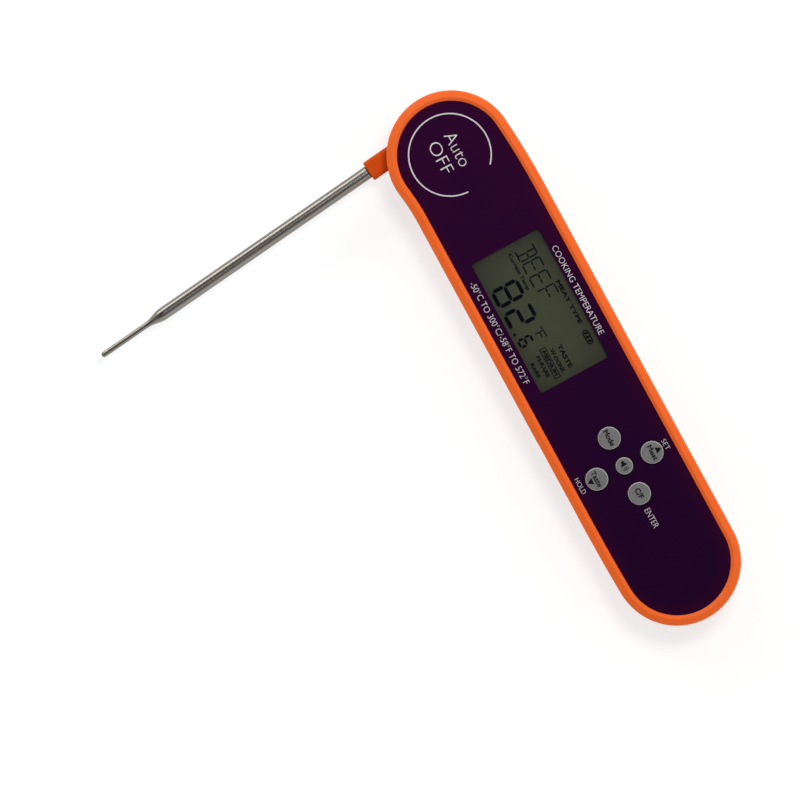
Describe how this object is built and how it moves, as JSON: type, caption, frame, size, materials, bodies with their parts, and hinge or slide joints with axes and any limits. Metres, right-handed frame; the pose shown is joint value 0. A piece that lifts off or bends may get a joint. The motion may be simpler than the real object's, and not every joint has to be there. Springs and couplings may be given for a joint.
{
  "type": "folding digital meat thermometer",
  "caption": "Folding kitchen thermometer with a long rounded handle, a glossy panel with a display and round keys, and a steel probe that turns out of a side channel.",
  "frame": {"origin": "on the probe's hinge axis, at the flat back face that the handle lies on", "axes": "+X along the handle from the hinge to the tail, +Y towards the top of the display, +Z out of the display face"},
  "size_m": [0.1695, 0.1348, 0.0192],
  "materials": {
    "orange_plastic": "satin moulded plastic",
    "panel_plastic": "high gloss",
    "window_plastic": "clear gloss",
    "display_glass": "grey-green display glass",
    "key_plastic": "satin",
    "black_plastic": "matt",
    "white_plastic": "matt",
    "tape": "matt",
    "board_laminate": "satin",
    "silicone": "matt",
    "washer_plastic": "satin",
    "steel": "brushed",
    "magnet": "plated",
    "spring_brass": "satin",
    "lead_jacket": "satin",
    "reed_glass": "gloss",
    "epoxy": "gloss"
  },
  "bodies": {
    "handle": {"front_shell": "orange_plastic", "rear_shell": "orange_plastic", "front_panel": "panel_plastic", "display_window": "window_plastic", "panel_adhesive": "tape", "lcd_glass": "display_glass", "lcd_frame": "black_plastic", "backlight_guide": "white_plastic", "zebra_strip": "silicone", "main_board": "board_laminate", "controller_chip": "black_plastic", "buzzer": "black_plastic", "reed_switch": "reed_glass", "battery_cell": "steel", "battery_holder": "black_plastic", "battery_positive_contact": "spring_brass", "battery_negative_contact": "spring_brass", "back_magnets": "magnet", "housing_screws": "steel", "board_screws": "steel", "board_leads": "lead_jacket", "front_o_ring": "silicone", "rear_o_ring": "silicone", "front_thrust_washer": "washer_plastic", "rear_thrust_washer": "washer_plastic", "mode_switch": "black_plastic", "sound_switch": "black_plastic", "unit_switch": "black_plastic", "down_switch": "black_plastic", "up_switch": "black_plastic"},
    "probe": {"hub": "orange_plastic", "hub_cover": "orange_plastic", "hub_screws": "steel", "hub_magnet": "magnet", "probe_tube": "steel", "tube_seal": "silicone", "thermistor_bead": "epoxy", "tip_epoxy": "epoxy", "probe_leads": "lead_jacket"},
    "mode_key": {"mode_key": "key_plastic", "mode_plunger": "black_plastic"},
    "sound_key": {"sound_key": "key_plastic", "sound_plunger": "black_plastic"},
    "unit_key": {"unit_key": "key_plastic", "unit_plunger": "black_plastic"},
    "down_key": {"down_key": "key_plastic", "down_plunger": "black_plastic"},
    "up_key": {"up_key": "key_plastic", "up_plunger": "black_plastic"},
    "battery_cap": {"battery_cap": "orange_plastic", "battery_cap_o_ring": "silicone"}
  },
  "joints": [
    {"name": "probe_fold", "type": "hinge", "parent": "handle", "child": "probe", "pos_m": [0, 0, 0.0075], "axis": [0, 0, 1], "range_deg": [-96.1, 83.9]},
    {"name": "mode_press", "type": "slide", "parent": "handle", "child": "mode_key", "axis": [0, 0, -1], "range_m": [0, 0.0004], "stiffness_N_per_m": 3000},
    {"name": "sound_press", "type": "slide", "parent": "handle", "child": "sound_key", "axis": [0, 0, -1], "range_m": [0, 0.0004], "stiffness_N_per_m": 3000},
    {"name": "unit_press", "type": "slide", "parent": "handle", "child": "unit_key", "axis": [0, 0, -1], "range_m": [0, 0.0004], "stiffness_N_per_m": 3000},
    {"name": "down_press", "type": "slide", "parent": "handle", "child": "down_key", "axis": [0, 0, -1], "range_m": [0, 0.0004], "stiffness_N_per_m": 3000},
    {"name": "up_press", "type": "slide", "parent": "handle", "child": "up_key", "axis": [0, 0, -1], "range_m": [0, 0.0004], "stiffness_N_per_m": 3000},
    {"name": "battery_cap_twist", "type": "hinge", "parent": "handle", "child": "battery_cap", "pos_m": [0.1327, 0.00115, 0.0015], "axis": [0, 0, -1], "range_deg": [0, 35]}
  ]
}
